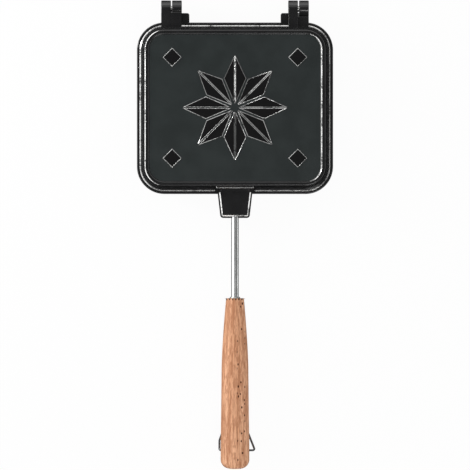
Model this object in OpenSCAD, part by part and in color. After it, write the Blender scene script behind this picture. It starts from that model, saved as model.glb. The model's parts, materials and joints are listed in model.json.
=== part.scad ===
// Hinged pie iron: two cast halves that close on a filling, on two steel rods
// with half-round wooden grips, kept shut by a wire bail that swings round
// the ends of the grips. Millimetres, +Z up, +Y from the grips to the hinge.
// Each half is drawn in its own frame: plate centre at 0, 0 and Z away from
// the parting plane. The lower half is the same casting turned over.

/* [Plate] */
// Width of a plate, side to side
plate_w = 147; // [139:1:160]
// Length of a plate, hinge side to handle side
plate_l = 128.5; // [122:0.5:145]
// Corner radius of the plate outline
corner_r = 20.5; // [18:0.5:24]
// Height of one half, parting plane to foot ring
half_h = 19; // [18:0.5:23]
// Thickness of the rim flange
flange_t = 3; // [2.5:0.25:4]
// How far the flange stands out of the wall
flange_out = 2.6; // [2:0.1:3.2]
// Draft of the outer wall, in degrees
wall_draft = 12.5; // [9:0.5:13]
// Radius of the shoulder between the wall and the foot ring
shoulder_r = 1.1; // [0.8:0.1:1.8]
// Width of the flat foot ring
foot_ring_w = 1.4; // [1:0.1:3]
// How far the panel lies below the foot ring
panel_drop = 0.9; // [0.6:0.1:1.5]
// Slope width of the step from the foot ring to the panel
step_w = 1.2; // [0.5:0.1:2]
// Thickness of the plate's floor
floor_t = 3; // [2:0.25:4]
// Width of the sealing rim that meets the other half
rim_w = 5.2; // [4.5:0.1:7]
// Draft of the cavity wall, in degrees
cavity_draft = 10; // [5:1:15]
// Fillet between the cavity wall and its floor
cavity_r = 4; // [2:0.5:6]
// Gap between the two halves when shut
parting_gap = 0.3; // [0.2:0.05:0.5]

/* [Relief] */
// Tip-to-tip size of the eight-petalled star
star_d = 78; // [60:1:84]
// Height of the relief above the panel
relief_h = 0.7; // [0.4:0.1:0.9]
// Groove between neighbouring petal halves
petal_gap = 1.3; // [0.8:0.1:2]
// Where a petal is widest, as a share of its length
petal_waist = 0.56; // [0.5:0.01:0.7]
// Length and width of the small corner diamonds
diamond_d = 14; // [8:0.5:16]
// Distance of a diamond's centre from the panel's edges
diamond_inset = 17; // [14:0.5:18]

/* [Hinge] */
// Distance of the hinge axis behind the plate edge
hinge_out = 10.25; // [9.5:0.25:12]
// Outer radius of a knuckle
knuckle_r = 6.4; // [5.5:0.1:7]
// Width of a knuckle along the axis
knuckle_w = 7.2; // [6:0.1:9]
// Side gap between two knuckles
knuckle_gap = 0.95; // [0.5:0.05:1.5]
// Distance of each lug's outer face inside the plate's side
lug_inset = 18.2; // [17:0.1:20]
// Radial room left round a knuckle
knuckle_room = 0.5; // [0.4:0.05:0.8]
// How far a lug reaches into the plate's wall
lug_root = 4; // [3.8:0.1:5]
// Height of the lug block in front of the other half's inner knuckle
inner_block_h = 7; // [6:0.1:8]
// Height of the lug block in front of the other half's outer knuckle
outer_block_h = 4.4; // [3.5:0.1:6]
// Height of the lip on a lug block, above its room for the knuckle
block_lip = 0.6; // [0.4:0.1:1]
// Width of the low web beside each lug
web_w = 5.7; // [4:0.1:7]
// Diameter of a hinge pin
pin_d = 4.5; // [3.5:0.1:5]
// Radial clearance of the pin in the knuckles that turn on it
pin_clearance = 0.05; // [0.02:0.01:0.1]
// How far the pin's ends lie inside the lugs
pin_inset = 0.5; // [0.2:0.1:1]

/* [Boss] */
// Width of the boss where it leaves the plate
boss_root_w = 27; // [24:0.5:30]
// Width of the boss at its tip
boss_tip_w = 21.75; // [18:0.25:24]
// Length of the boss in front of the plate
boss_l = 18; // [15:0.5:24]
// Height of the boss above the parting plane
boss_h = 11; // [10:0.25:12.5]
// How far the boss's sides lean in between the flange and the bevel
boss_draft = 1.2; // [0.3:0.1:1.2]
// Bevel along the boss's upper edges
boss_bevel = 0.8; // [0.6:0.1:1.2]
// Radius of the boss's corners at its tip, seen from above
boss_corner = 2; // [2:0.1:4]
// How far the collar at the boss's root stands out at each side
collar_out = 1.7; // [1:0.1:3]
// Distance of the collar's rear face inside the plate edge
collar_root = 4.9; // [4.6:0.1:5.2]
// Distance of the collar's front face inside the plate edge
collar_front = 1.1; // [0.5:0.1:2]
// Height of the collar's ridge above the parting plane
ridge_h = 15.5; // [14:0.25:16]
// Length of the ridge, side to side
ridge_l = 28; // [24:0.5:28.5]
// Distance of the ridge's front edge inside the plate edge
ridge_front = 4.6; // [3.4:0.1:4.8]
// Distance of the ridge's rear edge inside the plate edge, within the wall
ridge_root = 6; // [5.8:0.1:6.6]

/* [Rods] */
// Diameter of a rod
rod_d = 5.5; // [5:0.1:6.5]
// Height of a rod's axis above the parting plane
rod_h = 5; // [4.75:0.05:5.25]
// Length of rod that shows between the boss and the grip
rod_free_l = 59.25; // [45:0.25:90]
// Depth of the rod in the boss
rod_in_boss = 20; // [16:0.5:21]
// Diameter of the turned-down rod inside the grip
tang_d = 4.8; // [4:0.1:4.9]
// Diameter of the threaded rod end
thread_d = 4; // [3:0.1:4]
// Diameter of the cross pin that holds a rod in its boss
cross_pin_d = 2.5; // [2:0.1:3]
// Distance of the cross pin behind the boss's tip
cross_pin_in = 7; // [5:0.5:9]
// Length of the cross pin past the rod, above it
cross_pin_over = 1; // [0.5:0.25:1.5]

/* [Grips] */
// Length of a grip
grip_l = 127.65; // [110:0.5:150]
// Half-width of a grip at its front end
grip_front_x = 6.7; // [6.2:0.05:8]
// Half-width of a grip where its front swell ends
grip_mid_x = 9.85; // [9:0.05:10]
// Half-width of a grip at its widest
grip_back_x = 10.75; // [10:0.05:12]
// Height of a grip at its front end
grip_front_h = 9.3; // [9:0.1:10]
// Height of a grip where its front swell ends
grip_mid_h = 10.2; // [10:0.05:10.5]
// Height of a grip at its rear end
grip_back_h = 10.6; // [10.5:0.05:12]
// Length of the front swell
swell_l = 52; // [30:1:80]
// How full the front swell is: 1 is a straight taper
swell_power = 1.5; // [1.2:0.1:2.5]
// Distance from the front end to where the grip is widest
flare_l = 108; // [80:1:114]
// Radius of the rear corners, seen from above
end_round_x = 6.7; // [5:0.1:6.8]
// Radius of the rear edge, seen from the side
end_round_h = 1.6; // [1:0.1:2]
// Diameter of the washer at a grip's front end
front_washer_d = 7.6; // [6.6:0.1:9.2]
// Thickness of that washer
front_washer_t = 1; // [0.6:0.1:1.5]
// Diameter of the slotted nut in a grip's rear end
end_nut_d = 5.6; // [5.2:0.1:5.8]
// Length of that nut
end_nut_l = 4; // [3:0.25:5]
// Thickness of the washer under the nut
end_washer_t = 0.6; // [0.4:0.1:1]
// Width of the nut's screwdriver slot
nut_slot = 1.2; // [0.8:0.1:1.5]
// Radial room round the nut in its counterbore
nut_room = 0.2; // [0.1:0.05:0.3]
// How far the nut lies inside the grip's end
nut_inset = 1; // [0.5:0.25:2]

/* [Bail] */
// Diameter of the wire
wire_d = 1.5; // [1.2:0.1:1.6]
// Distance of the bail's pivot from the grip's rear end
pivot_in = 13.5; // [12:0.25:14.5]
// Depth of the pivot below the parting plane
pivot_h = 4.5; // [4.25:0.05:4.75]
// Radial clearance of the wire in its holes
foot_clearance = 0.07; // [0.03:0.01:0.1]
// Length of a foot inside the grip's side
foot_l = 3; // [2.5:0.1:3.5]
// Side gap between a leg and the widest part of the grips
leg_gap = 0.2; // [0.15:0.05:0.4]
// Distance from the pivot to the bail's cross bar
bail_l = 21.5; // [21:0.1:22.5]
// Length of the cross bar, corner to corner
bar_w = 16.5; // [16:0.1:18]
// How far the thumb bow stands out past the right leg
thumb_out = 3.3; // [2.8:0.1:4]
// Distance from the pivot to the knee of the left leg
knee_l = 9.2; // [8.5:0.1:10]
// Bend radius of the wire at its centre line
bend_r = 1.4; // [1.2:0.1:1.6]
// Height of the hanging cross bar above the table
bar_lift = 0.1; // [0:0.05:0.5]

/* [Hidden] */
$fn = 64;

base_z = parting_gap / 2;
flange_top = base_z + flange_t;
panel_z = half_h - panel_drop;
floor_z = panel_z - floor_t;
edge_r = flange_t / 4;
root_fillet = flange_out / 3;
arc_steps = 6;
petals = 8;
overlap = 1;

hinge_y = plate_l / 2 + hinge_out;
relief_r = knuckle_r + knuckle_room;
pair_w = 2 * knuckle_w + knuckle_gap;
lug_x = plate_w / 2 - lug_inset - pair_w;
boss_tip_y = -plate_l / 2 - boss_l;
rod_start_y = boss_tip_y + rod_in_boss;
washer_y = boss_tip_y - rod_free_l;
grip_y = washer_y - front_washer_t;
grip_end_y = grip_y - grip_l;
nut_bore_r = end_nut_d / 2 + nut_room;
nut_y = grip_end_y + nut_inset;
end_washer_y = nut_y + end_nut_l;
nut_seat_y = end_washer_y + end_washer_t;
pivot_y = grip_end_y + pivot_in;

// The box of the whole iron is centred on the origin, with the feet at Z = 0.
plate_y = -(hinge_y + knuckle_r + grip_end_y) / 2;
parting_z = half_h;
rest_angle = asin((parting_z - pivot_h - wire_d / 2 - bar_lift) / bail_l);

alloy = [0.09, 0.095, 0.1];
steel = [0.72, 0.72, 0.7];
beech = [0.8, 0.6, 0.45];

// Points of an arc from angle a to angle b round [x, y]
function arc(x, y, r, a, b) =
    [for (i = [0:arc_steps]) let (t = a + (b - a) * i / arc_steps)
        [x + r * cos(t), y + r * sin(t)]];

// Inset of the outer wall and of the cavity wall from the plate edge, at height z
function wall_at(z) = flange_out + (z - flange_top) * tan(wall_draft);
function cavity_at(z) = rim_w + (z - base_z) * tan(cavity_draft);

shoulder_x = wall_at(half_h - shoulder_r) + shoulder_r / cos(wall_draft);
cavity_x = cavity_at(floor_z - cavity_r) + cavity_r / cos(cavity_draft);
fillet_x = wall_at(flange_top + root_fillet) - root_fillet / cos(wall_draft);

// Section through the rim, as [inset from the plate edge, height]
rim_section = concat(
    [[0, base_z]],
    arc(edge_r, flange_top - edge_r, edge_r, 180, 90),
    arc(fillet_x, flange_top + root_fillet, root_fillet, -90, -wall_draft),
    arc(shoulder_x, half_h - shoulder_r, shoulder_r, 180 - wall_draft, 90),
    [[shoulder_x + foot_ring_w, half_h],
     [shoulder_x + foot_ring_w + step_w, panel_z],
     [corner_r, panel_z],
     [corner_r, floor_z]],
    arc(cavity_x, floor_z - cavity_r, cavity_r, 90, 180 - cavity_draft),
    [[rim_w, base_z]]);
panel_inset = shoulder_x + foot_ring_w + step_w;

module rim_profile() {
    polygon([for (p = rim_section) [corner_r - p[0], p[1]]]);
}

// Pan of one half: four rounded corners, four straight sides and the floor
module pan() {
    half_x = plate_w / 2 - corner_r;
    half_y = plate_l / 2 - corner_r;
    for (side = [0:3]) {
        out = side % 2 == 0 ? half_x : half_y;
        along = side % 2 == 0 ? half_y : half_x;
        rotate([0, 0, 90 * side]) translate([out, along, 0]) {
            rotate_extrude(angle = 90) rim_profile();
            rotate([90, 0, 0]) linear_extrude(2 * along) rim_profile();
        }
    }
    translate([-half_x, -half_y, floor_z])
        cube([2 * half_x, 2 * half_y, panel_z - floor_z]);
}

// One petal of the star: two halves with a groove between them
module petal() {
    tip = star_d / 2;
    waist = petal_waist * tip;
    half_angle = 180 / petals;
    waist_half = waist * tan(half_angle) - petal_gap / 2 / cos(half_angle);
    start = petal_gap / 2 / sin(half_angle) + petal_gap;
    half_groove = petal_gap / 4;
    for (m = [0, 1]) mirror([0, m, 0])
        polygon([[start, half_groove], [waist, waist_half], [tip, half_groove]]);
}

module relief() {
    diamond_x = plate_w / 2 - panel_inset - diamond_inset;
    diamond_y = plate_l / 2 - panel_inset - diamond_inset;
    translate([0, 0, panel_z - overlap]) linear_extrude(relief_h + overlap) {
        for (i = [0:petals - 1]) rotate(360 * i / petals) petal();
        for (x = [-1, 1], y = [-1, 1]) translate([x * diamond_x, y * diamond_y])
            circle(d = diamond_d, $fn = 4);
    }
}

// Cylinder along X, from x to x + l, round the hinge axis
module on_hinge(x, l, r) {
    translate([x, hinge_y, 0]) rotate([0, 90, 0]) cylinder(h = l, r = r);
}

// Knuckle and arm at x, beside a lower block that clears the other knuckle
module lug(x, block_x, block_h, block_back) {
    root_y = plate_l / 2 - lug_root;
    translate([x, root_y, base_z])
        cube([knuckle_w, hinge_y - root_y, knuckle_r - base_z]);
    on_hinge(x, knuckle_w, knuckle_r);
    difference() {
        translate([min(block_x, x), root_y, base_z])
            cube([pair_w, hinge_y - block_back - root_y, block_h - base_z]);
        on_hinge(block_x, knuckle_w + knuckle_gap, relief_r);
        translate([x, root_y - overlap, knuckle_r])
            cube([knuckle_w, hinge_y, block_h]);
    }
}

// Low web beside a lug, at the height of the flange, with a rounded corner
module web(side) {
    corner = web_w / 4;
    root_y = plate_l / 2 - flange_out / 2;
    back_y = hinge_y - knuckle_r / 2;
    translate([side * lug_x, root_y, base_z]) mirror([side > 0 ? 1 : 0, 0, 0])
        linear_extrude(flange_t) difference() {
            square([web_w, back_y - root_y]);
            translate([web_w - corner, back_y - root_y - corner]) difference() {
                square(corner + overlap);
                circle(corner);
            }
        }
}

// Both hinge lugs: the left knuckle is the outer one, the right one the inner
module lugs(bore_r) {
    inner_back = sqrt(pow(relief_r, 2) - pow(inner_block_h - block_lip, 2));
    outer_back = sqrt(pow(relief_r, 2) - pow(outer_block_h - block_lip, 2));
    left_x = -lug_x - pair_w;
    difference() {
        union() {
            lug(left_x, left_x + knuckle_w, inner_block_h, inner_back);
            lug(lug_x, lug_x + knuckle_w, outer_block_h, outer_back);
            web(-1);
            web(1);
        }
        on_hinge(left_x - overlap, pair_w + 2 * overlap, bore_r);
        on_hinge(lug_x - overlap, pair_w + 2 * overlap, bore_r);
    }
}

// Outline of the boss from above, with round corners, drawn in by inset
module boss_outline(inset) {
    root_y = -plate_l / 2 + collar_root;
    root_half = boss_root_w / 2;
    tip_half = boss_tip_w / 2;
    offset(r = -inset, $fn = 32) offset(r = boss_corner, $fn = 32) offset(delta = -boss_corner)
        polygon([[-root_half, root_y], [root_half, root_y],
                 [tip_half, boss_tip_y], [-tip_half, boss_tip_y]]);
}

// Tapered boss with drafted sides and bevelled upper edges, and the collar at
// its root, which slopes up on three sides to a ridge against the plate's wall
module boss() {
    translate([0, 0, base_z]) hull() {
        linear_extrude(flange_t) boss_outline(0);
        linear_extrude(boss_h - boss_bevel - base_z) boss_outline(boss_draft);
        linear_extrude(boss_h - base_z) boss_outline(boss_draft + boss_bevel);
    }
    collar_half = boss_root_w / 2 + collar_out;
    translate([0, -plate_l / 2, 0]) hull() {
        translate([-collar_half, collar_front, base_z])
            cube([2 * collar_half, collar_root - collar_front, boss_h - base_z]);
        translate([-ridge_l / 2, ridge_front, boss_h])
            cube([ridge_l, ridge_root - ridge_front, ridge_h - boss_h]);
    }
}

// Round bar of diameter d along Y at the rod's height, from y towards the grip
module on_rod(y, l, d) {
    translate([0, y, rod_h]) rotate([90, 0, 0]) cylinder(h = l, d = d);
}

module cross_pin() {
    z = base_z + parting_gap;
    translate([0, boss_tip_y + cross_pin_in, z])
        cylinder(h = rod_h + rod_d / 2 + cross_pin_over - z, d = cross_pin_d);
}

// One casting, with hinge bores of radius bore_r
module casting(bore_r) {
    difference() {
        union() {
            pan();
            relief();
            lugs(bore_r);
            boss();
        }
        on_rod(rod_start_y, rod_in_boss + overlap, rod_d);
        cross_pin();
        translate([0, boss_tip_y + cross_pin_in, 0])
            cylinder(h = rod_h, d = cross_pin_d);
    }
}

// Rod: full diameter to the grip, a thinner tang through it, a threaded end
module rod() {
    difference() {
        union() {
            on_rod(rod_start_y, rod_start_y - washer_y, rod_d);
            on_rod(washer_y, washer_y - nut_seat_y, tang_d);
            on_rod(nut_seat_y, nut_seat_y - nut_y - nut_inset / 2, thread_d);
        }
        cross_pin();
    }
}

module front_washer() {
    difference() {
        on_rod(washer_y, front_washer_t, front_washer_d);
        on_rod(washer_y + overlap, front_washer_t + 2 * overlap, tang_d);
    }
}

module end_washer() {
    difference() {
        on_rod(nut_seat_y, end_washer_t, end_nut_d);
        on_rod(nut_seat_y + overlap, end_washer_t + 2 * overlap, thread_d);
    }
}

module end_nut() {
    difference() {
        on_rod(end_washer_y, end_nut_l, end_nut_d);
        on_rod(end_washer_y + overlap, end_nut_l + 2 * overlap, thread_d);
        translate([-end_nut_d, nut_y - overlap, rod_h - nut_slot / 2])
            cube([2 * end_nut_d, nut_slot + overlap, nut_slot]);
    }
}

// Half-width and height of the grip at distance s behind its front end
function end_inset(s, r) = let (e = min(max(s - grip_l + r, 0), r)) r - sqrt(r * r - e * e);
function swelling(s, front, mid, back) = front
    + (mid - front) * (1 - pow(1 - min(s / swell_l, 1), swell_power))
    + (back - mid) * pow(min(s / flare_l, 1), 2);
function grip_x(s) = swelling(s, grip_front_x, grip_mid_x, grip_back_x)
    - end_inset(s, end_round_x);
function grip_top(s) = swelling(s, grip_front_h, grip_mid_h, grip_back_h)
    - end_inset(s, end_round_h);

// Half-round section at distance s, as points from the right to the left edge
section_steps = 20;
function grip_ring(s) =
    [for (i = [0:section_steps]) let (a = 180 * i / section_steps)
        [grip_x(s) * cos(a), grip_y - s,
         base_z + (grip_top(s) - base_z) * sin(a)]];

// Stations along the grip: evenly along its swell, then closer round its end
swell_steps = 12;
end_steps = 7;
stations = concat(
    [for (i = [0:swell_steps - 1]) (grip_l - end_round_x) * i / swell_steps],
    [for (i = [0:end_steps]) grip_l - end_round_x * (1 - sin(90 * i / end_steps))]);

// Closed skin over rings of points, each clockwise seen along the travel
module loft(rings) {
    n = len(rings[0]);
    last = len(rings) - 1;
    polyhedron(
        points = [for (ring = rings) each ring],
        faces = concat(
            [[for (i = [0:n - 1]) i]],
            [[for (i = [n - 1:-1:0]) last * n + i]],
            [for (k = [0:last - 1], i = [0:n - 1]) let (j = (i + 1) % n)
                [k * n + i, (k + 1) * n + i, (k + 1) * n + j]],
            [for (k = [0:last - 1], i = [0:n - 1]) let (j = (i + 1) % n)
                [k * n + i, (k + 1) * n + j, k * n + j]]));
}

module grip() {
    difference() {
        loft([for (s = stations) grip_ring(s)]);
        on_rod(grip_y + overlap, grip_l + 2 * overlap, tang_d);
        on_rod(nut_seat_y, nut_seat_y - grip_end_y + overlap, 2 * nut_bore_r);
    }
}

// Side of the grip at the pivot's height, which is where the bail's feet go in
pivot_s = grip_l - pivot_in;
side_x = grip_x(pivot_s) * sqrt(1 - pow((pivot_h - base_z) / (grip_top(pivot_s) - base_z), 2));
foot_x = side_x - foot_l;

// The same grip with the two blind holes for the bail
module latch_grip() {
    hole_x = foot_x - foot_clearance - leg_gap;
    difference() {
        grip();
        for (side = [-1, 1]) translate([side * hole_x, pivot_y, pivot_h])
            rotate([0, 90 * side, 0])
                cylinder(h = grip_back_x, d = wire_d + 2 * foot_clearance);
    }
}

// Round wire along a flat path, bent to the bend radius at every inner point
bend_steps = 6;
wire_sides = 16;
function heading(p, q) = atan2(q[1] - p[1], q[0] - p[0]);
function left_of(a) = [-sin(a), cos(a)];
function turn(path, i) =
    (heading(path[i], path[i + 1]) - heading(path[i - 1], path[i]) + 540) % 360 - 180;

// Stations [point, heading] round the bend at point i
function bend(path, i) = let (
        a = heading(path[i - 1], path[i]),
        bent = turn(path, i),
        side = sign(bent) * bend_r,
        start = path[i] - bend_r * tan(abs(bent) / 2) * [cos(a), sin(a)],
        centre = start + side * left_of(a))
    [for (k = [0:bend_steps]) let (b = a + bent * k / bend_steps)
        [centre - side * left_of(b), b]];

function wire_ring(station) = let (n = left_of(station[1]))
    [for (i = [0:wire_sides - 1]) let (t = 360 * i / wire_sides)
        [station[0][0] + wire_d / 2 * cos(t) * n[0],
         station[0][1] + wire_d / 2 * cos(t) * n[1],
         wire_d / 2 * sin(t)]];

module wire(path) {
    last = len(path) - 1;
    loft([for (station = concat(
            [[path[0], heading(path[0], path[1])]],
            [for (i = [1:last - 1]) each bend(path, i)],
            [[path[last], heading(path[last - 1], path[last])]]))
        wire_ring(station)]);
}

// Bail at rest: hung from the lower grip, leaning forward onto the table
leg_x = grip_back_x + leg_gap + wire_d / 2;
bail_path = [[-foot_x, 0], [-leg_x, 0], [-leg_x, knee_l], [-bar_w / 2, bail_l],
    [bar_w / 2, bail_l], [leg_x + thumb_out, 0], [foot_x, 0]];

module bail() {
    translate([0, plate_y + pivot_y, parting_z - pivot_h])
        rotate([-rest_angle, 0, 0]) wire(bail_path);
}

module upper_half() { translate([0, plate_y, parting_z]) children(); }
module lower_half() { translate([0, plate_y, parting_z]) rotate([0, 180, 0]) children(); }

module pin(x) {
    color(steel) upper_half() on_hinge(x + pin_inset, pair_w - 2 * pin_inset, pin_d / 2);
}

color(alloy) lower_half() casting(pin_d / 2 + pin_clearance);  // lower_plate
color(alloy) upper_half() casting(pin_d / 2);  // upper_plate
pin(-lug_x - pair_w);  // hinge_pin_left
pin(lug_x);  // hinge_pin_right
color(steel) lower_half() rod();  // lower_rod
color(steel) upper_half() rod();  // upper_rod
color(steel) lower_half() cross_pin();  // lower_rod_pin
color(steel) upper_half() cross_pin();  // upper_rod_pin
color(steel) lower_half() front_washer();  // lower_front_washer
color(steel) upper_half() front_washer();  // upper_front_washer
color(beech) lower_half() latch_grip();  // lower_grip
color(beech) upper_half() grip();  // upper_grip
color(steel) lower_half() end_washer();  // lower_end_washer
color(steel) upper_half() end_washer();  // upper_end_washer
color(steel) lower_half() end_nut();  // lower_end_nut
color(steel) upper_half() end_nut();  // upper_end_nut
color(steel) bail();  // latch_bail
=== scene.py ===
import json
from math import asin, cos, pi, radians, sin, sqrt, tan

import bmesh
import bpy
from mathutils import Matrix, Vector


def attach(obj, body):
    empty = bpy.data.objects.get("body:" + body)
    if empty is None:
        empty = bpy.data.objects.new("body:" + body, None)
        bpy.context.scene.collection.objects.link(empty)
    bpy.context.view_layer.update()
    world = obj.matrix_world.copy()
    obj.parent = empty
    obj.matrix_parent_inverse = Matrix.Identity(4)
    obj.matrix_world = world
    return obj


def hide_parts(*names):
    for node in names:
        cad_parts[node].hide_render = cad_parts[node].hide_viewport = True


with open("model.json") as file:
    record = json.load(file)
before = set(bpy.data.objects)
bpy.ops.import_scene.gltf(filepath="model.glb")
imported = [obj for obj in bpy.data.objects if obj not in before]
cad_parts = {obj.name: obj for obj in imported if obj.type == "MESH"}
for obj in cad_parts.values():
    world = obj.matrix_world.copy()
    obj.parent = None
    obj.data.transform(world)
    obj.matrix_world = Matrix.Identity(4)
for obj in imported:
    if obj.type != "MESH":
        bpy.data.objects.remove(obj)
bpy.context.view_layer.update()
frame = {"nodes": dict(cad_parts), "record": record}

mm = 0.001
near = 0.01                      # how close counts as one place, in millimetres
over = 1                         # how far a cutter reaches past its piece, in millimetres
print("frame loaded:", len(frame["nodes"]), "nodes")

# Each half is modelled with the plate's centre at 0, 0 and Z away from the
# parting plane, in millimetres times mm, then turned and moved to its place.
plate = {
    "width": 147, "length": 128.5, "corner": 20.5, "height": 19,
    "gap": 0.15,                 # from the parting plane to the rim
    "flange": 3, "flangeOut": 2.6,
    "wallDraft": 12.5, "shoulder": 1.1,
    "footRing": 1.4, "step": 1.2, "panelDrop": 0.9,
    "crown": 0.35, "crownFall": 0.14, "crownRise": 0.105,   # soften the step down to the panel
    "floor": 3, "rim": 5.2, "mouthEdge": 0.4, "cavityDraft": 10, "cavityFillet": 4,
    "cornerSteps": 18, "arcSteps": 6,
}
hinge = {
    "out": 10.25, "knuckle": 6.4, "knuckleWidth": 7.2, "sideGap": 0.95,
    "inset": 18.2, "room": 0.5, "root": 4,
    "innerBlock": 7, "outerBlock": 4.4, "lip": 0.6,
    "web": 5.7, "webCorner": 1.425, "webEdge": 0.4,
    "pin": 4.5, "pinRoom": 0.05, "pinInset": 0.5, "pinEdge": 0.6,
    "softEdge": 0.45,            # rounding of the cast edges
    "nest": 0.02,                # keeps the faces of joined pieces out of one plane
}
joints = {joint["name"]: Vector(joint["pos_m"]) for joint in frame["record"]["behaviour"]["joints"]}
hingeY = plate["length"] / 2 + hinge["out"]
plateCentre = Vector((0, joints["lid_hinge"].y - hingeY * mm, joints["lid_hinge"].z))
halves = {
    "upper": Matrix.Translation(plateCentre),
    "lower": Matrix.Translation(plateCentre) @ Matrix.Rotation(pi, 4, "Y"),
}


def pick(*objs):
    for other in bpy.context.selected_objects:
        other.select_set(False)
    for obj in objs:
        obj.select_set(True)
    bpy.context.view_layer.objects.active = objs[-1]
    return objs[-1]


def added(name):
    obj = bpy.context.object
    obj.name = name
    obj.data.name = name
    return pick(obj)


def settle(obj):
    pick(obj)
    bpy.ops.object.transform_apply(location=True, rotation=True, scale=True)
    return obj


def edit(obj):
    pick(obj)
    bpy.ops.object.mode_set(mode="EDIT")


def done():
    bpy.ops.object.mode_set(mode="OBJECT")


# leaves only the faces, edges or points selected that pass the test
def select(obj, kind, test):
    bpy.ops.mesh.select_mode(type=kind)
    bpy.ops.mesh.select_all(action="DESELECT")
    mesh = bmesh.from_edit_mesh(obj.data)
    items = {"VERT": mesh.verts, "EDGE": mesh.edges, "FACE": mesh.faces}[kind]
    for item in items:
        if test(item):
            item.select_set(True)
    bmesh.update_edit_mesh(obj.data)


# the middle of an edge or a face
def middle(item):
    return sum((vert.co for vert in item.verts), Vector()) / len(item.verts)


def at(value, place):
    return abs(value - place * mm) < near * mm


def sharp(edge, limit=30):
    return len(edge.link_faces) == 2 and edge.calc_face_angle() > radians(limit)


def facesUp(face):
    return face.normal.z > 0.9


def facesHandle(face):
    return face.normal.y < -0.9


# neither level nor upright
def slopes(face):
    return 0.3 < face.normal.z < 0.97


def outwards():
    bpy.ops.mesh.select_all(action="SELECT")
    bpy.ops.mesh.normals_make_consistent(inside=False)


def roundEdges(obj, radius, test=sharp, segments=3):
    edit(obj)
    select(obj, "EDGE", test)
    bpy.ops.mesh.bevel(offset=radius * mm, segments=segments, affect="EDGES")
    done()
    return obj


# a box from its lowest to its highest corner, in millimetres
def block(name, low, high):
    size = [b - a for a, b in zip(low, high)]
    centre = [(a + b) / 2 * mm for a, b in zip(low, high)]
    bpy.ops.mesh.primitive_cube_add(size=1, location=centre)
    obj = added(name)
    obj.scale = [s * mm for s in size]
    return settle(obj)


# a round bar from one point along X, Y or Z, in millimetres
def bar(name, start, axis, length, radius, sides=64):
    turn = {"X": (0, pi / 2, 0), "Y": (pi / 2, 0, 0), "Z": (0, 0, 0)}[axis]
    centre = Vector(start)
    centre["XYZ".index(axis)] += length / 2
    bpy.ops.mesh.primitive_cylinder_add(vertices=sides, radius=radius * mm, depth=length * mm,
                                        location=centre * mm, rotation=turn)
    return settle(added(name))


def apply(obj, modifier):
    pick(obj)
    bpy.ops.object.modifier_apply(modifier=modifier.name)


def combine(obj, tool, operation="UNION"):
    if obj.data.materials and not tool.data.materials:
        tool.data.materials.append(obj.data.materials[0])
    modifier = obj.modifiers.new("combine", "BOOLEAN")
    modifier.operation = operation
    modifier.solver = "EXACT"
    modifier.material_mode = "TRANSFER"
    modifier.object = tool
    apply(obj, modifier)
    bpy.data.objects.remove(tool)
    return obj


def joined(*objs):
    pick(*objs)
    bpy.ops.object.join()
    return bpy.context.object


def copied(obj, name):
    pick(obj)
    bpy.ops.object.duplicate()
    return added(name)


# a finish of their own for the faces that pass the test
def dress(obj, finish, test):
    obj.data.materials.append(finish)
    edit(obj)
    select(obj, "FACE", test)
    obj.active_material_index = len(obj.data.materials) - 1
    bpy.ops.object.material_slot_assign()
    done()
    return obj


# merged points, outward faces, smooth except across real edges
def finished(obj, smoothAngle=35, merge=0.002):
    edit(obj)
    bpy.ops.mesh.select_all(action="SELECT")
    bpy.ops.mesh.remove_doubles(threshold=merge * mm)
    outwards()
    done()
    bpy.ops.object.shade_smooth_by_angle(angle=radians(smoothAngle))
    weighted = obj.modifiers.new("weighted", "WEIGHTED_NORMAL")
    weighted.keep_sharp = True
    apply(obj, weighted)
    return obj


def placed(obj, half):
    obj.matrix_world = halves[half]
    return settle(obj)


# a finished piece rides on its body and stands for its nodes
def install(obj, body, slot, finish, *nodes):
    if finish:
        obj.data.materials.clear()
        obj.data.materials.append(finish)
    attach(obj, body)
    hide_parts(*nodes)


def arcPoints(x, z, radius, start, stop, steps):
    turns = [radians(start + (stop - start) * i / steps) for i in range(steps + 1)]
    return [(x + radius * cos(t), z + radius * sin(t)) for t in turns]


# a socket in a material, so that shader maths reads as Python
class Signal:
    def __init__(self, finish, socket):
        self.finish = finish
        self.socket = socket

    def math(self, operation, *values):
        return self.finish.node("ShaderNodeMath", {"operation": operation}, values)

    def __add__(self, other):
        return self.math("ADD", self, other)

    def __sub__(self, other):
        return self.math("SUBTRACT", self, other)

    def __rsub__(self, other):
        return self.math("SUBTRACT", other, self)

    def __mul__(self, other):
        return self.math("MULTIPLY", self, other)

    def __truediv__(self, other):
        return self.math("DIVIDE", self, other)

    def __gt__(self, other):
        return self.math("GREATER_THAN", self, other)

    __radd__ = __add__
    __rmul__ = __mul__

    def abs(self):
        return self.math("ABSOLUTE", self)

    # 0 up to low, 1 from high on, smooth between them
    def rise(self, low, high):
        return self.finish.node("ShaderNodeMapRange", {"interpolation_type": "SMOOTHSTEP"},
                                {"Value": self, "From Min": low, "From Max": high})

    # a noise moved and scaled to lie about a value
    def about(self, value, spread):
        return self * spread + (value - spread / 2)


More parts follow.
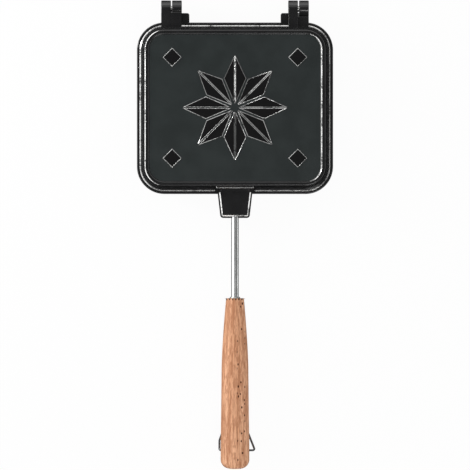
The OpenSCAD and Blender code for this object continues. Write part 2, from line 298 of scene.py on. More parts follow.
# a node tree being built: a material's or the world's
class Finish:
    def __init__(self, tree):
        self.tree = tree

    def node(self, kind, settings=None, inputs=(), output=0):
        made = self.tree.nodes.new(kind)
        for key, value in (settings or {}).items():
            setattr(made, key, value)
        pairs = inputs.items() if isinstance(inputs, dict) else enumerate(inputs)
        for key, value in pairs:
            self.feed(made.inputs[key], value)
        return Signal(self, made.outputs[output]) if made.outputs else made

    def feed(self, socket, value):
        if isinstance(value, Signal):
            self.tree.links.new(value.socket, socket)
        else:
            socket.default_value = value

    def mix(self, factor, low, high):
        return self.node("ShaderNodeMix", {"data_type": "RGBA"}, {0: factor, 6: low, 7: high}, output=2)

    # the object's own coordinates, stretched along each axis
    def place(self, *scale):
        where = self.node("ShaderNodeTexCoord", output="Object")
        return self.node("ShaderNodeMapping", {}, {"Vector": where, "Scale": scale or (1, 1, 1)})

    # one scale, or one for each axis
    def noise(self, scale, detail=2, roughness=0.5, output=0):
        where = self.place(*(scale if isinstance(scale, tuple) else [scale] * 3))
        return self.node("ShaderNodeTexNoise", {},
                         {"Vector": where, "Scale": 1, "Detail": detail, "Roughness": roughness}, output)

    # the object's own coordinates, pushed about by a share of a coloured noise
    def bent(self, share, scale):
        push = self.noise(scale, output=1)
        return self.node("ShaderNodeMix", {"data_type": "VECTOR"},
                         {0: share, 4: self.place(), 5: push}, output=1)

    def parts(self, where):
        outputs = self.node("ShaderNodeSeparateXYZ", {}, [where]).socket.node.outputs
        return [Signal(self, outputs[i]) for i in range(3)]

    def bump(self, height, depth):
        return self.node("ShaderNodeBump", {}, {"Height": height, "Distance": depth * mm})


def material(name, recipe):
    made = bpy.data.materials.new(name)
    made.use_nodes = True
    surface = made.node_tree.nodes["Principled BSDF"]
    finish = Finish(made.node_tree)
    for socket, value in recipe(finish).items():
        finish.feed(surface.inputs[socket], value)
    return made


# the coated castings: clouds of shade, and fine pebbles on low swells
castSkin = {
    "clouds": 60, "cloudRise": (0.3, 0.7), "roughnessSpread": 0.06,
    "pebbles": 2600, "swells": 700, "swellShare": 1.5,
}
coatings = {
    "rim": {"dark": (0.008, 0.008, 0.0085, 1), "light": (0.014, 0.014, 0.0145, 1),
            "specular": 0.5, "roughness": 0.12, "depth": 0.004},
    "panel": {"dark": (0.014, 0.0185, 0.0185, 1), "light": (0.0185, 0.024, 0.024, 1),
              "specular": 0.26, "roughness": 0.38, "depth": 0.01},
}


def coatingRecipe(name):
    coating = coatings[name]

    def recipe(finish):
        clouds = finish.noise(castSkin["clouds"], detail=4)
        pebbles = finish.noise(castSkin["pebbles"])
        swells = finish.noise(castSkin["swells"], detail=3)
        shade = clouds.rise(*castSkin["cloudRise"])
        return {
            "Base Color": finish.mix(shade, coating["dark"], coating["light"]),
            "Roughness": clouds.about(coating["roughness"], castSkin["roughnessSpread"]),
            "Specular IOR Level": coating["specular"],
            "Normal": finish.bump(pebbles + swells * castSkin["swellShare"], coating["depth"]),
        }
    return recipe


relief = {
    "colour": (0.0015, 0.0016, 0.0018, 1), "specular": 0.8, "roughness": 0.12,
    "roughnessSpread": 0.04, "ripples": 500, "depth": 0.01,
}


def reliefRecipe(finish):
    ripples = finish.noise(relief["ripples"])
    return {
        "Base Color": relief["colour"],
        "Roughness": ripples.about(relief["roughness"], relief["roughnessSpread"]),
        "Specular IOR Level": relief["specular"],
        "Normal": finish.bump(ripples, relief["depth"]),
    }


# painted highlight: a bright metal colour, broken by speckles and patches, on the edges and fillets that
# catch the light
paintedHighlight = {
    "metal": (0.62, 0.62, 0.61, 1), "coating": (0.012, 0.012, 0.0125, 1),
    "roughness": 0.2, "roughnessSpread": 0.2, "depth": 0.004,
    "speckles": 900, "patches": 90, "highlightRise": (0.36, 0.52),
    "leftTurn": 0.2,             # how far a face of the rim turns left, toward the light, before the highlight is painted on it
}


def paintedHighlightRecipe(finish):
    speckles = finish.noise(paintedHighlight["speckles"], detail=3)
    patches = finish.noise(paintedHighlight["patches"])
    highlightMask = ((speckles + patches) * 0.5).rise(*paintedHighlight["highlightRise"])
    return {
        "Base Color": finish.mix(highlightMask, paintedHighlight["coating"], paintedHighlight["metal"]),
        "Metallic": highlightMask,
        "Roughness": speckles.about(paintedHighlight["roughness"], paintedHighlight["roughnessSpread"]),
        "Normal": finish.bump(speckles, paintedHighlight["depth"]),
    }


# drawn or ground lines, and stains that dull the metal
steelSkin = {
    "stains": 120, "stainRise": (0.35, 0.7), "stainShade": 0.82,
    "roughnessSpread": 0.2, "stainShare": 0.3, "depth": 0.004,
}
steels = {
    "rod": {"colour": (0.78, 0.79, 0.79, 1), "roughness": 0.25, "lines": (1400, 25, 1400)},
    "zinc": {"colour": (0.55, 0.55, 0.53, 1), "roughness": 0.35, "lines": (900, 900, 900)},
    "wire": {"colour": (0.12, 0.12, 0.12, 1), "roughness": 0.23, "lines": (1200, 1200, 1200)},
}


def steelRecipe(name):
    steel = steels[name]

    def recipe(finish):
        lines = finish.noise(steel["lines"], detail=3)
        stains = finish.noise(steelSkin["stains"], detail=3)
        dull = [c * steelSkin["stainShade"] for c in steel["colour"][:3]] + [1]
        wear = lines * (1 - steelSkin["stainShare"]) + stains * steelSkin["stainShare"]
        return {
            "Base Color": finish.mix(stains.rise(*steelSkin["stainRise"]), steel["colour"], dull),
            "Metallic": 1,
            "Roughness": wear.about(steel["roughness"], steelSkin["roughnessSpread"]),
            "Normal": finish.bump(lines, steelSkin["depth"]),
        }
    return recipe


beech = {
    "light": (0.8, 0.45, 0.275, 1), "mid": (0.68, 0.355, 0.205, 1),
    "streak": (0.4, 0.165, 0.08, 1), "fleck": (0.07, 0.02, 0.008, 1),
    # painted shade: the colour of the dark dashes round the front end
    "paintedShade": (0.03, 0.014, 0.006, 1),
    "bands": (170, 7, 170), "bandRise": (0.35, 0.65),
    "grain": (620, 42, 620), "grainRise": (0.43, 0.58), "grainShare": 0.75,
    "pores": (800, 200, 800), "poreRise": (0.5, 0.62), "poreShare": 0.6,
    "fleckCell": (3.1, 5.2),     # width and length of the cell that holds one fleck
    "fleckEdge": (0.126, 0.207), # from a fleck's middle, as a share of the cell
    "fleckSize": 0.9, "fleckSpread": 0.4, "fleckChance": 0.45,
    "fleckBend": 0.0011, "fleckWaves": (140, 60, 0),       # keep the cells from showing as a grid
    "columnStart": (0.6, 2.6), "columnStop": (7.1, 8.1),   # the flecks lie to one side of the middle
    "dash": 2.3, "dashRise": (-0.2, 0.5), "edgeLine": (1.1, 1.45), "paintedShadeShare": 0.92,
    "roughness": 0.465, "roughnessSpread": 0.15, "specular": 0.12, "grainDetail": (4, 0.75),
    "depth": 0.03, "fleckDepth": 2, "pitRise": (0.56, 0.7),
}


# dark flecks in a column along the grip, at most one to a cell
def fleckMask(finish, across):
    width, length = beech["fleckCell"]
    bent = finish.bent(beech["fleckBend"], beech["fleckWaves"])
    where = finish.node("ShaderNodeMapping", {},
                        {"Vector": bent, "Scale": (1 / width / mm, 1 / length / mm, 0)})
    cells = finish.node("ShaderNodeTexVoronoi", {"voronoi_dimensions": "2D"},
                        {"Vector": where, "Scale": 1})
    colour = Signal(finish, cells.socket.node.outputs["Color"])
    chance = finish.node("ShaderNodeSeparateColor", {}, [colour])
    size = chance.about(beech["fleckSize"], beech["fleckSpread"])
    column = across.rise(*beech["columnStart"]) * (1 - across.rise(*beech["columnStop"]))
    dots = 1 - (cells / size).rise(*beech["fleckEdge"])
    return dots * column * (chance > beech["fleckChance"])


# painted shade: short dark dashes round the front end, a shadow line along its edge
def paintedShadeDashes(across, behindFront):
    dashes = across.math("SINE", across * (2 * pi / beech["dash"])).rise(*beech["dashRise"])
    front = 1 - behindFront.abs().rise(*beech["edgeLine"])
    return front * dashes * beech["paintedShadeShare"]


def beechRecipe(frontY, side):
    def recipe(finish):
        x, y = [part / mm for part in finish.parts(finish.place())[:2]]
        bands = finish.noise(beech["bands"], detail=3)
        grain = finish.noise(beech["grain"], *beech["grainDetail"])
        pores = finish.noise(beech["pores"])
        flecks = fleckMask(finish, x * side)
        wood = finish.mix(bands.rise(*beech["bandRise"]), beech["light"], beech["mid"])
        wood = finish.mix(grain.rise(*beech["grainRise"]) * beech["grainShare"], wood, beech["streak"])
        wood = finish.mix(pores.rise(*beech["poreRise"]) * beech["poreShare"], wood, beech["streak"])
        wood = finish.mix(flecks, wood, beech["fleck"])
        # painted shade along the front end
        wood = finish.mix(paintedShadeDashes(x, y - frontY), wood, beech["paintedShade"])
        height = grain - flecks * beech["fleckDepth"] - pores.rise(*beech["pitRise"])
        return {
            "Base Color": wood,
            "Roughness": grain.about(beech["roughness"], beech["roughnessSpread"]),
            "Specular IOR Level": beech["specular"],
            "Normal": finish.bump(height, beech["depth"]),
        }
    return recipe


coated = material("coatedCasting", coatingRecipe("rim"))
satin = material("satinPanel", coatingRecipe("panel"))
glossy = material("glossyRelief", reliefRecipe)
# painted highlight lines for edges, slopes and fillets
highlightPaint = material("paintedHighlightEdge", paintedHighlightRecipe)
rodSteel = material("rodSteel", steelRecipe("rod"))
zincSteel = material("zincSteel", steelRecipe("zinc"))
wireSteel = material("wireSteel", steelRecipe("wire"))
print("materials made")

gapZ = plate["gap"]
flangeTop = gapZ + plate["flange"]
panelZ = plate["height"] - plate["panelDrop"]
floorZ = panelZ - plate["floor"]
wallRoot = plate["flangeOut"] / 3   # fillet round the foot of the wall


# section of the rim as inset from the plate's edge and height, outside first
def rimSection():
    steps, top, edge = plate["arcSteps"], plate["height"], plate["flange"] / 4
    lean, shoulder, crown = plate["wallDraft"], plate["shoulder"], plate["crown"]

    # inset of the wall at z, or of the middle of an arc that touches it there
    def wall(z, radius):
        return plate["flangeOut"] + (z - flangeTop) * tan(radians(lean)) + radius / cos(radians(lean))

    rootX = wall(flangeTop + wallRoot, -wallRoot)
    shoulderX = wall(top - shoulder, shoulder)
    ring = shoulderX + plate["footRing"]
    panel = ring + plate["step"]
    outside = arcPoints(edge, flangeTop - edge, edge, 180, 90, steps)
    outside += arcPoints(rootX, flangeTop + wallRoot, wallRoot, -90, -lean, steps)
    outside += arcPoints(shoulderX, top - shoulder, shoulder, 180 - lean, 90, steps)
    outside += [(ring, top), (ring + crown, top - plate["crownFall"]),
                (panel - crown, panelZ + plate["crownRise"]), (panel, panelZ)]

    rim, mouth, fillet = plate["rim"], plate["mouthEdge"], plate["cavityFillet"]
    draft = radians(plate["cavityDraft"])
    cavityX = rim + (floorZ - fillet - gapZ) * tan(draft) + fillet / cos(draft)
    inside = [(rim - mouth, gapZ), (rim, gapZ + mouth)]
    inside += arcPoints(cavityX, floorZ - fillet, fillet, 180 - plate["cavityDraft"], 90, steps)
    return outside, inside, panel


# insets the selected face from point to point; rising is -1 where it faces down
def follow(section, inset, height, rising):
    for nextInset, nextHeight in section:
        depth = (nextHeight - height) * rising
        bpy.ops.mesh.inset(thickness=(nextInset - inset) * mm, depth=depth * mm, use_even_offset=True)
        inset, height = nextInset, nextHeight


# painted highlight: the fillet round the foot of the wall, and what faces left, toward the light, along
# the shoulder and foot ring
def paintedHighlightRim(face):
    z = middle(face).z / mm
    atRoot = flangeTop < z < flangeTop + wallRoot
    facesLeft = z > plate["height"] - plate["shoulder"] and face.normal.x < -paintedHighlight["leftTurn"]
    return slopes(face) and (atRoot or facesLeft)


def panBody():
    outside, inside, panelInset = rimSection()
    bpy.ops.mesh.primitive_plane_add(size=1, location=(0, 0, gapZ * mm))
    pan = added("pan")
    pan.scale = (plate["width"] * mm, plate["length"] * mm, 1)
    settle(pan)
    edit(pan)
    bpy.ops.mesh.select_all(action="SELECT")
    bpy.ops.mesh.bevel(offset=plate["corner"] * mm, segments=plate["cornerSteps"], affect="VERTICES")
    bpy.ops.mesh.select_all(action="SELECT")
    inset, height = outside[0]
    bpy.ops.mesh.extrude_region_move(TRANSFORM_OT_translate={"value": (0, 0, (height - gapZ) * mm)})
    follow(outside[1:], inset, height, 1)
    outwards()
    select(pan, "FACE", lambda f: at(middle(f).z, gapZ))
    follow(inside, 0, gapZ, -1)
    done()
    pan.data.materials.append(coated)
    dress(pan, satin, lambda f: facesUp(f) and at(middle(f).z, panelZ))
    # painted highlight on the wall's root fillet and the left-facing rim
    dress(pan, highlightPaint, paintedHighlightRim)
    return pan, panelInset


star = {
    "petals": 8, "diameter": 78, "waist": 0.56, "height": 0.7, "groove": 1.3,
    "diamond": 14, "diamondInset": 17, "sunk": 0.4,
    "slope": 0.42, "slopeHeight": 0.25,   # chamfer round the top of each raised shape
}


# a flat outline of three or four points, raised, with a slope round its top
def raised(name, points):
    bpy.ops.mesh.primitive_circle_add(vertices=len(points), radius=mm, fill_type="NGON")
    obj = added(name)
    edit(obj)
    low = panelZ - star["sunk"]
    for index, (x, y) in enumerate(points):
        select(obj, "VERT", lambda v: v.index == index)
        here = bmesh.from_edit_mesh(obj.data)
        here.verts.ensure_lookup_table()
        move = Vector((x, y, low)) * mm - here.verts[index].co
        bpy.ops.transform.translate(value=move)
    bpy.ops.mesh.select_mode(type="FACE")
    bpy.ops.mesh.select_all(action="SELECT")
    rise = star["sunk"] + star["height"] - star["slopeHeight"]
    bpy.ops.mesh.extrude_region_move(TRANSFORM_OT_translate={"value": (0, 0, rise * mm)})
    follow([(star["slope"], star["slopeHeight"])], 0, 0, 1)
    outwards()
    done()
    return obj


def reliefShapes(panelInset):
    tip = star["diameter"] / 2
    waist = star["waist"] * tip
    half = pi / star["petals"]
    start = star["groove"] / 2 / sin(half) + star["groove"]
    offset = star["groove"] / 4
    waistHalf = waist * tan(half) - star["groove"] / 2 / cos(half)
    shapes = []
    for turn in range(star["petals"]):
        spin = Matrix.Rotation(turn * 2 * half, 2)
        for side in (1, -1):
            points = [(start, side * offset), (waist, side * waistHalf), (tip, side * offset)]
            shapes.append(raised("petal", [spin @ Vector(p) for p in points]))
    reach = star["diamond"] / 2
    middleX = plate["width"] / 2 - panelInset - star["diamondInset"]
    middleY = plate["length"] / 2 - panelInset - star["diamondInset"]
    for x in (-middleX, middleX):
        for y in (-middleY, middleY):
            points = [(x + reach, y), (x, y + reach), (x - reach, y), (x, y - reach)]
            shapes.append(raised("diamond", points))
    whole = joined(*shapes)
    whole.data.materials.append(glossy)
    # painted highlight on every slope round the raised shapes
    return dress(whole, highlightPaint, slopes)


pairWidth = 2 * hinge["knuckleWidth"] + hinge["sideGap"]
lugX = plate["width"] / 2 - hinge["inset"] - pairWidth
leftX = -lugX - pairWidth
rootY = plate["length"] / 2 - hinge["root"]


def onHinge(name, x, length, radius):
    return bar(name, (x, hingeY, 0), "X", length, radius)


# knuckle and arm at x, beside a block that clears the other half's knuckle
def lug(x, blockHeight):
    width, knuckle, nest, soft = [hinge[key] for key in ("knuckleWidth", "knuckle", "nest", "softEdge")]
    room = knuckle + hinge["room"]
    back = sqrt(room ** 2 - (blockHeight - hinge["lip"]) ** 2)
    low = (x + nest, rootY + nest, gapZ + nest)
    foot = roundEdges(block("block", low, (x + pairWidth, hingeY - back, blockHeight)), soft)
    clear = onHinge("room", x + width, width + hinge["sideGap"] + over, room)
    combine(foot, clear, "DIFFERENCE")
    if blockHeight > knuckle:
        cut = block("cut", (x - over, rootY - over, knuckle - nest),
                    (x + width - nest, hingeY, blockHeight + over))
        combine(foot, cut, "DIFFERENCE")
    arm = block("arm", (x, rootY, gapZ), (x + width, hingeY, knuckle))
    roundEdges(arm, soft, lambda e: sharp(e) and not at(middle(e).z, gapZ))
    combine(arm, roundEdges(onHinge("knuckle", x, width, knuckle), soft))
    return combine(arm, foot)


# the thin web in the corner between the plate and a lug's inner side
def web(side):
    backY = hingeY - hinge["knuckle"] / 2
    frontY = plate["length"] / 2 - plate["flangeOut"] / 2
    corner = side * (lugX - hinge["web"])
    left, right = sorted((side * (lugX + hinge["nest"]), corner))
    low = gapZ + hinge["nest"]
    top = low + plate["flange"]
    obj = block("web", (left, frontY, low), (right, backY, top))
    roundEdges(obj, hinge["webCorner"],
               lambda e: at(middle(e).x, corner) and at(middle(e).y, backY), segments=5)
    return roundEdges(obj, hinge["webEdge"], lambda e: sharp(e) and at(middle(e).z, top))


boss = {
    "rootWidth": 27, "tipWidth": 21.75, "length": 18, "height": 11,
    "draft": 1.2, "bevel": 0.8, "corner": 2, "cornerSteps": 6,
    "collarOut": 1.7,            # wider than the boss on each side
    "collarFrom": 1.1, "collarTo": 4.9, "ridgeFrom": 4.6, "ridgeTo": 6,   # in from the plate's end
    "ridgeHeight": 15.5, "ridgeLength": 28, "softEdge": 0.4,
}
plateEnd = -plate["length"] / 2
bossTipY = plateEnd - boss["length"]


def tipCorner(edge):
    low, high = sorted(vert.co.z for vert in edge.verts)
    return high - low > mm and at(middle(edge).y, bossTipY)


def bossBody():
    root = boss["rootWidth"] / 2
    body = block("boss", (-root, bossTipY, gapZ), (root, plateEnd + boss["collarTo"], flangeTop))
    edit(body)
    select(body, "FACE", facesHandle)
    bpy.ops.transform.resize(value=(boss["tipWidth"] / boss["rootWidth"], 1, 1))
    select(body, "EDGE", tipCorner)
    bpy.ops.mesh.bevel(offset=boss["corner"] * mm, segments=boss["cornerSteps"], affect="EDGES")
    select(body, "FACE", facesUp)
    bevelIn = boss["draft"] + boss["bevel"]
    section = [(boss["draft"], boss["height"] - boss["bevel"]), (bevelIn, boss["height"])]
    follow(section, 0, flangeTop, 1)
    done()
    body.data.materials.append(coated)
    # painted highlight on the boss's bevels
    dress(body, highlightPaint, slopes)
    return combine(body, collarBody(root + boss["collarOut"]))


# the collar slopes up on three sides to a ridge against the plate's wall
def collarBody(half):
    rear, height, ridgeTop = plateEnd + boss["collarTo"], boss["height"], boss["ridgeHeight"]
    obj = block("collar", (-half, plateEnd + boss["collarFrom"], gapZ), (half, rear, height))
    edit(obj)
    select(obj, "FACE", facesUp)
    bpy.ops.mesh.extrude_region_move(TRANSFORM_OT_translate={"value": (0, 0, (ridgeTop - height) * mm)})
    bpy.ops.transform.resize(value=(boss["ridgeLength"] / 2 / half, 1, 1))

    def onRidge(item):
        return all(at(vert.co.z, ridgeTop) for vert in getattr(item, "verts", [item]))

    for atRear, move in ((False, boss["ridgeFrom"] - boss["collarFrom"]),
                         (True, boss["ridgeTo"] - boss["collarTo"])):
        select(obj, "VERT", lambda v: onRidge(v) and at(v.co.y, rear) == atRear)
        bpy.ops.transform.translate(value=(0, move * mm, 0))
    done()
    ridgeRear = plateEnd + boss["ridgeTo"]
    roundEdges(obj, boss["softEdge"],
               lambda e: sharp(e, limit=20) and onRidge(e) and not at(middle(e).y, ridgeRear))
    obj.data.materials.append(coated)
    ridge = (ridgeTop - boss["softEdge"]) * mm
    # painted highlight along the slopes of the ridge
    return dress(obj, highlightPaint, lambda f: middle(f).z > ridge and slopes(f))


rods = {
    "diameter": 5.5, "height": 5, "free": 59.25, "inBoss": 20, "tang": 4.8, "thread": 4,
    "crossPin": 2.5, "crossPinIn": 7, "endEdge": 0.15, "sides": 48, "holeSides": 32,
}


def castingBody():
    pan, panelInset = panBody()
    for piece in (lug(leftX, hinge["innerBlock"]), lug(lugX, hinge["outerBlock"]),
                  web(-1), web(1), bossBody()):
        combine(pan, piece)
    combine(pan, reliefShapes(panelInset))
    bore = hinge["pin"] / 2 + hinge["pinRoom"]
    for x in (leftX, lugX):
        combine(pan, onHinge("bore", x - over, pairWidth + 2 * over, bore), "DIFFERENCE")
    start = (0, bossTipY - over, rods["height"])
    socket = bar("socket", start, "Y", rods["inBoss"] + over, rods["diameter"] / 2)
    combine(pan, socket, "DIFFERENCE")
    start = (0, bossTipY + rods["crossPinIn"], -over)
    combine(pan, bar("pinHole", start, "Z", rods["height"], rods["crossPin"] / 2), "DIFFERENCE")
    return finished(pan)


upperCasting = castingBody()
upperCasting.name = upperCasting.data.name = "upperCasting"
lowerCasting = copied(upperCasting, "lowerCasting")
for half, casting in (("upper", upperCasting), ("lower", lowerCasting)):
    placed(casting, half)
    install(casting, half + "_half", "coated_casting", None, half + "_plate")
print("castings made:", len(upperCasting.data.polygons), "faces each")


grip = {
    "length": 127.65,
    "width": (6.7, 9.85, 10.75), # half-width at the front end, behind the swell, at the widest
    "top": (9.3, 10.2, 10.6),    # height at the same places
    "swell": 52, "power": 1.5, "flare": 108,
    "endX": 6.7, "endTop": 1.6,  # roundings of the rear end, seen from above and from the side
    "frontRound": 0.5, "softEdge": 0.35,
    "sides": 96, "noseSteps": 5, "swellSteps": 26, "endSteps": 16,
}
# what holds a grip on its rod: a washer in front, a washer and a slotted nut in its rear end
fixings = {
    "washer": 7.6, "washerThick": 1, "washerRoom": 0.02, "washerEdge": 0.2, "endWasher": 0.6,
    "nut": 5.6, "nutLength": 4, "nutSlot": 1.2, "nutInset": 1, "nutEdge": 0.35,
    "threadRoom": 0.01, "tangRoom": 0.03, "counterRoom": 0.2,
}
washerY = bossTipY - rods["free"]
gripY = washerY - fixings["washerThick"]
gripEnd = gripY - grip["length"]
nutY = gripEnd + fixings["nutInset"]
nutSeat = nutY + fixings["nutLength"] + fixings["endWasher"]


# half-width and height of a grip at a distance behind its front end
def gripSize(s):
    swell = 1 - (1 - min(s / grip["swell"], 1)) ** grip["power"]
    flare = min(s / grip["flare"], 1) ** 2
    front = max(grip["frontRound"] - s, 0)
    nose = grip["frontRound"] - sqrt(grip["frontRound"] ** 2 - front ** 2)
    sizes = []
    for (small, between, large), radius in ((grip["width"], grip["endX"]),
                                            (grip["top"], grip["endTop"])):
        past = max(radius - grip["length"] + s, 0)
        end = radius - sqrt(max(radius ** 2 - past ** 2, 0))
        sizes.append(small + (between - small) * swell + (large - between) * flare - end - nose)
    return sizes


# distances behind the front end at which a grip's section is set
def gripStations():
    front, end, length = grip["frontRound"], grip["endX"], grip["length"]
    noseSteps, swellSteps, endSteps = grip["noseSteps"], grip["swellSteps"], grip["endSteps"]
    straight = length - end - front
    stations = [front * (1 - cos(pi / 2 * i / noseSteps)) for i in range(noseSteps)]
    stations += [front + straight * i / swellSteps for i in range(swellSteps)]
    stations += [length - end * (1 - sin(pi / 2 * i / endSteps)) for i in range(endSteps + 1)]
    return stations


# half a circle, extruded from station to station and scaled to the grip's size there
def gripBody(name):
    bpy.ops.mesh.primitive_circle_add(vertices=grip["sides"], radius=mm, fill_type="NGON",
                                      location=(0, gripY * mm, gapZ * mm), rotation=(pi / 2, 0, 0))
    obj = settle(added(name))
    edit(obj)
    select(obj, "VERT", lambda v: v.co.z < (gapZ - near) * mm)
    bpy.ops.mesh.delete(type="VERT")
    bpy.ops.mesh.select_all(action="SELECT")
    bpy.ops.mesh.edge_face_add()
    bpy.ops.mesh.select_mode(type="FACE")
    bpy.ops.mesh.select_all(action="SELECT")
    width, height, last = 1, 1, 0
    for s in gripStations():
        if s > last:
            travel = (last - s) * mm
            bpy.ops.mesh.extrude_region_move(TRANSFORM_OT_translate={"value": (0, travel, 0)})
        newWidth, newTop = gripSize(s)
        newHeight = newTop - gapZ
        bpy.ops.transform.resize(value=(newWidth / width, 1, newHeight / height),
                                 center_override=(0, (gripY - s) * mm, gapZ * mm))
        width, height, last = newWidth, newHeight, s
    outwards()
    done()
    endStart = (gripEnd + grip["endX"]) * mm
    roundEdges(obj, grip["softEdge"],
               lambda e: sharp(e, limit=60) and at(middle(e).z, gapZ) and middle(e).y > endStart,
               segments=2)
    rear = (0, gripEnd - over, rods["height"])
    bore = bar("bore", rear, "Y", grip["length"] + 2 * over, rods["tang"] / 2 + fixings["tangRoom"])
    combine(obj, bore, "DIFFERENCE")
    depth = nutSeat - gripEnd + over
    counter = bar("counter", rear, "Y", depth, fixings["nut"] / 2 + fixings["counterRoom"])
    return combine(obj, counter, "DIFFERENCE")


bail = {
    "wire": 1.5, "pivotIn": 13.5, "pivotDepth": 4.5, "room": 0.07, "foot": 3, "legGap": 0.2,
    "length": 21.5, "bar": 16.5, "thumb": 3.3, "knee": 9.2, "bend": 1.4, "lift": 0.1,
    "sides": 20, "holeSides": 32, "bendSteps": 8, "softEdge": 0.2,
}
pivotY = gripEnd + bail["pivotIn"]
pivotWidth, pivotTop = gripSize(grip["length"] - bail["pivotIn"])
sideX = pivotWidth * sqrt(1 - ((bail["pivotDepth"] - gapZ) / (pivotTop - gapZ)) ** 2)
footX = sideX - bail["foot"]
legX = grip["width"][2] + bail["legGap"] + bail["wire"] / 2

upperGrip = gripBody("upperGrip")
lowerGrip = copied(upperGrip, "lowerGrip")
holeLength = grip["width"][2]
for start in (-footX - holeLength, footX - bail["room"] - bail["legGap"]):
    hole = bar("hole", (start, pivotY, bail["pivotDepth"]), "X", holeLength,
               bail["wire"] / 2 + bail["room"], bail["holeSides"])
    combine(lowerGrip, hole, "DIFFERENCE")
for half, obj, side in (("upper", upperGrip, 1), ("lower", lowerGrip, -1)):
    wood = material(half + "Beech", beechRecipe(gripY + plateCentre.y / mm, side))
    finished(obj, smoothAngle=30)
    placed(obj, half)
    install(obj, half + "_half", "beech", wood, half + "_grip")
print("grips made")


# a bar along Y that is turned down twice inside the grip, with a cross hole in the boss
def steppedRod(name):
    steps = [(rods["inBoss"] + rods["free"], rods["diameter"]), (washerY - nutSeat, rods["tang"]),
             (nutSeat - nutY - fixings["nutInset"] / 2, rods["thread"])]
    length, diameter = steps[0]
    start = bossTipY + rods["inBoss"] - length
    obj = bar(name, (0, start, rods["height"]), "Y", length, diameter / 2, rods["sides"])
    edit(obj)
    for nextLength, nextDiameter in steps[1:]:
        select(obj, "FACE", lambda f: facesHandle(f) and at(middle(f).y, start))
        bpy.ops.mesh.inset(thickness=(diameter - nextDiameter) / 2 * mm)
        bpy.ops.mesh.extrude_region_move(TRANSFORM_OT_translate={"value": (0, -nextLength * mm, 0)})
        start -= nextLength
        diameter = nextDiameter
    done()
    roundEdges(obj, rods["endEdge"], lambda e: sharp(e, limit=60), segments=2)
    across = (0, bossTipY + rods["crossPinIn"], 0)
    hole = bar("hole", across, "Z", 2 * rods["height"], rods["crossPin"] / 2, rods["holeSides"])
    return finished(combine(obj, hole, "DIFFERENCE"))


# a disc on the rod's axis with rounded edges and a bore through it
def boredDisc(name, y, length, radius, edge, boreRadius):
    disc = bar(name, (0, y, rods["height"]), "Y", length, radius, rods["sides"])
    start = (0, y - over, rods["height"])
    bore = bar("bore", start, "Y", length + 2 * over, boreRadius, rods["sides"])
    return combine(roundEdges(disc, edge), bore, "DIFFERENCE")


def washerBody(name):
    return finished(boredDisc(name, gripY, fixings["washerThick"], fixings["washer"] / 2,
                              fixings["washerEdge"], rods["tang"] / 2 + fixings["washerRoom"]))


def nutBody(name):
    radius, slot = fixings["nut"] / 2, fixings["nutSlot"]
    obj = boredDisc(name, nutY, fixings["nutLength"], radius,
                    fixings["nutEdge"], rods["thread"] / 2 + fixings["threadRoom"])
    cut = block("slot", (-radius - over, nutY - over, rods["height"] - slot / 2),
                (radius + over, nutY + slot, rods["height"] + slot / 2))
    return finished(combine(obj, cut, "DIFFERENCE"))


for piece, build, slot, steel in (("rod", steppedRod, "rod_steel", rodSteel),
                                  ("front_washer", washerBody, "pin_steel", zincSteel),
                                  ("end_nut", nutBody, "pin_steel", zincSteel)):
    upper = build("upper_" + piece + "_body")
    lower = copied(upper, "lower_" + piece + "_body")
    for half, obj in (("upper", upper), ("lower", lower)):
        placed(obj, half)
        install(obj, half + "_half", slot, steel, half + "_" + piece)

for side, x in (("left", leftX), ("right", lugX)):
    length = pairWidth - 2 * hinge["pinInset"]
    pin = onHinge(side + "Pin", x + hinge["pinInset"], length, hinge["pin"] / 2)
    roundEdges(pin, hinge["pinEdge"], segments=4)
    placed(finished(pin), "upper")
    install(pin, "upper_half", "pin_steel", zincSteel, "hinge_pin_" + side)

for name in ("lower_rod_pin", "upper_rod_pin", "lower_end_washer", "upper_end_washer"):
    mesh = frame["nodes"][name].data
    mesh.materials.clear()
    mesh.materials.append(zincSteel)
print("rods, washers, nuts and pins made")


# a round wire pushed along a flat path and turned about each bend's centre
def bailBody():
    half = bail["bar"] / 2
    path = [(-footX, 0), (-legX, 0), (-legX, bail["knee"]), (-half, bail["length"]),
            (half, bail["length"]), (legX + bail["thumb"], 0), (footX, 0)]
    path = [Vector(point) for point in path]
    bpy.ops.mesh.primitive_circle_add(vertices=bail["sides"], radius=bail["wire"] / 2 * mm,
                                      fill_type="NGON", location=(-footX * mm, 0, 0),
                                      rotation=(0, -pi / 2, 0))
    obj = settle(added("bailWire"))
    edit(obj)
    bpy.ops.mesh.select_mode(type="FACE")
    bpy.ops.mesh.select_all(action="SELECT")
    spot = path[0]
    for index in range(1, len(path)):
        heading = (path[index] - path[index - 1]).normalized()
        target = path[index]
        turn = 0
        if index < len(path) - 1:
            after = (path[index + 1] - path[index]).normalized()
            turn = -heading.angle_signed(after)
            target = path[index] - heading * bail["bend"] * tan(abs(turn) / 2)
        move = (target - spot) * mm
        bpy.ops.mesh.extrude_region_move(TRANSFORM_OT_translate={"value": (move.x, move.y, 0)})
        spot = target
        if turn:
            side = 1 if turn > 0 else -1
            centre = spot + Vector((-heading.y, heading.x)) * side * bail["bend"]
            for step in range(bail["bendSteps"]):
                bpy.ops.mesh.extrude_region_move(TRANSFORM_OT_translate={"value": (0, 0, 0)})
                bpy.ops.transform.rotate(value=-turn / bail["bendSteps"], orient_axis="Z",
                                         center_override=(centre.x * mm, centre.y * mm, 0))
            spot = centre + Matrix.Rotation(turn, 2) @ (spot - centre)
    outwards()
    done()
    return roundEdges(obj, bail["softEdge"], lambda e: sharp(e, limit=60), segments=2)


bailWire = finished(bailBody(), smoothAngle=40)
drop = plate["height"] - bail["pivotDepth"] - bail["wire"] / 2 - bail["lift"]
lean = Matrix.Rotation(-asin(drop / bail["length"]), 4, "X")
bailWire.matrix_world = Matrix.Translation(joints["bail_swing"]) @ lean
settle(bailWire)
install(bailWire, "bail", "wire_steel", wireSteel, "latch_bail")
print("bail made")

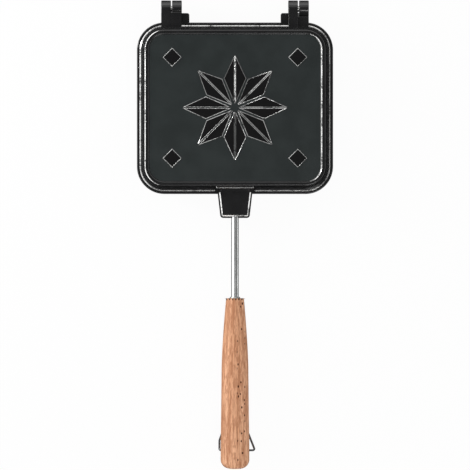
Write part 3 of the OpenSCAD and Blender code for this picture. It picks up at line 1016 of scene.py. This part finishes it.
stage = {
    "floor": 8, "floorDrop": 0.1, "floorColour": (0.8, 0.8, 0.8, 1),
    "whiteShare": 0.95,          # of the floor's look in the picture and in gloss
    "skyLight": 0.72,            # what the world gives to matt surfaces
    "zenith": 0.17,              # dark patch over the object, where the camera hangs
    "patchFrom": 10, "patchTo": 34,
    "shadowSide": 0.15,          # how bright the right and near side of the sky reflects
    "brightSide": (-0.8, 0.6), "sideRise": (-0.7, 0.4),
    "horizonRise": (0.05, 0.3),
    "blackCard": (230, 440), "cardDrop": 0.05,
    "lens": 400, "distance": 3.917, "aimY": -0.0004,
}
# place, size and power; a card shows only as a reflection, in gloss and in metal
lamps = {
    "keyLight": ((-0.7, 0.3, 0.32), (0.14, 0.6), 3.7),
    "topFill": ((0.3, -0.6, 1.8), (0.5, 0.5), 5),
}
cards = {
    "leftCard": ((-0.8, 0.1, 0.37), (2.4, 0.78), 8),
    "backCard": ((0, 1.1, 0.45), (2.4, 0.6), 5),
    "rightCard": ((1.5, 0.1, 0.07), (2.4, 0.2), 2),
    "frontCard": ((0, -1.7, 0.07), (2.4, 0.2), 3),
}
white = (1, 1, 1, 1)


def seenRays(finish):
    outputs = finish.node("ShaderNodeLightPath").socket.node.outputs
    kinds = ("Is Camera Ray", "Is Glossy Ray", "Is Transmission Ray")
    return [Signal(finish, outputs[kind]) for kind in kinds]


def floorMaterial():
    made = bpy.data.materials.new("paleFloor")
    made.use_nodes = True
    made.node_tree.nodes.clear()
    finish = Finish(made.node_tree)
    sight, gloss, through = seenRays(finish)
    matt = finish.node("ShaderNodeBsdfDiffuse", {}, {"Color": stage["floorColour"]})
    shine = finish.node("ShaderNodeEmission", {}, {"Color": white, "Strength": 1})
    share = (sight + gloss + through) * stage["whiteShare"]
    surface = finish.node("ShaderNodeMixShader", {}, [share, matt, shine])
    finish.node("ShaderNodeOutputMaterial", {}, [surface])
    return made


bpy.ops.mesh.primitive_plane_add(size=stage["floor"], location=(0, 0, -stage["floorDrop"] * mm))
floor = settle(added("floor"))
floor.data.materials.append(floorMaterial())

# a black card under the iron, seen only in gloss, draws its steep sides dark
bpy.ops.mesh.primitive_plane_add(size=1, location=(0, 0, -stage["cardDrop"] * mm))
blackCard = added("blackCard")
blackCard.scale = [side * mm for side in stage["blackCard"]] + [1]
settle(blackCard)
black = material("black", lambda finish: {"Base Color": (0, 0, 0, 1), "Roughness": 1})
blackCard.data.materials.append(black)
for ray in ("camera", "diffuse", "shadow", "transmission"):
    setattr(blackCard, "visible_" + ray, False)


# white where it is seen, and in gloss bright to the left and behind, dark overhead
def lightWorld():
    world = bpy.data.worlds.new("studio")
    bpy.context.scene.world = world
    world.use_nodes = True
    world.node_tree.nodes.clear()
    finish = Finish(world.node_tree)
    sight, gloss, through = seenRays(finish)
    x, y, z = finish.parts(finish.node("ShaderNodeTexCoord", output="Generated"))
    dark = z.rise(cos(radians(stage["patchTo"])), cos(radians(stage["patchFrom"])))
    brightX, brightY = stage["brightSide"]
    lit = (x * brightX + y * brightY).rise(*stage["sideRise"])
    lit = lit * (1 - stage["shadowSide"]) + stage["shadowSide"]
    horizon = 1 - z.abs().rise(*stage["horizonRise"])
    reflected = lit.math("MAXIMUM", lit, horizon) * (1 - dark * (1 - stage["zenith"]))
    direct = sight + through
    strength = direct + gloss * reflected + (1 - direct - gloss) * stage["skyLight"]
    shown = finish.node("ShaderNodeBackground", {}, {"Color": white, "Strength": strength})
    finish.node("ShaderNodeOutputWorld", {}, [shown])


def lamp(name, place, size, power, aimZ=0):
    bpy.ops.object.light_add(type="AREA", location=place)
    obj = bpy.context.object
    obj.name = obj.data.name = name
    obj.data.shape = "RECTANGLE"
    obj.data.size, obj.data.size_y = size
    obj.data.energy = power
    obj.rotation_euler = (Vector((0, 0, aimZ)) - Vector(place)).to_track_quat("-Z", "Y").to_euler()
    obj.visible_camera = False
    return obj


lightWorld()
for name, (place, size, power) in lamps.items():
    lamp(name, place, size, power)
for name, (place, size, power) in cards.items():
    card = lamp(name, place, size, power, place[2])
    card.visible_diffuse = False

overhead = (0, stage["aimY"], plateCentre.z + stage["distance"])
bpy.ops.object.camera_add(location=overhead, rotation=(0, 0, 0))
camera = bpy.context.object
camera.name = "camera"
camera.data.lens = stage["lens"]
bpy.context.scene.camera = camera
bpy.context.scene.view_settings.view_transform = "Standard"
print("stage set")
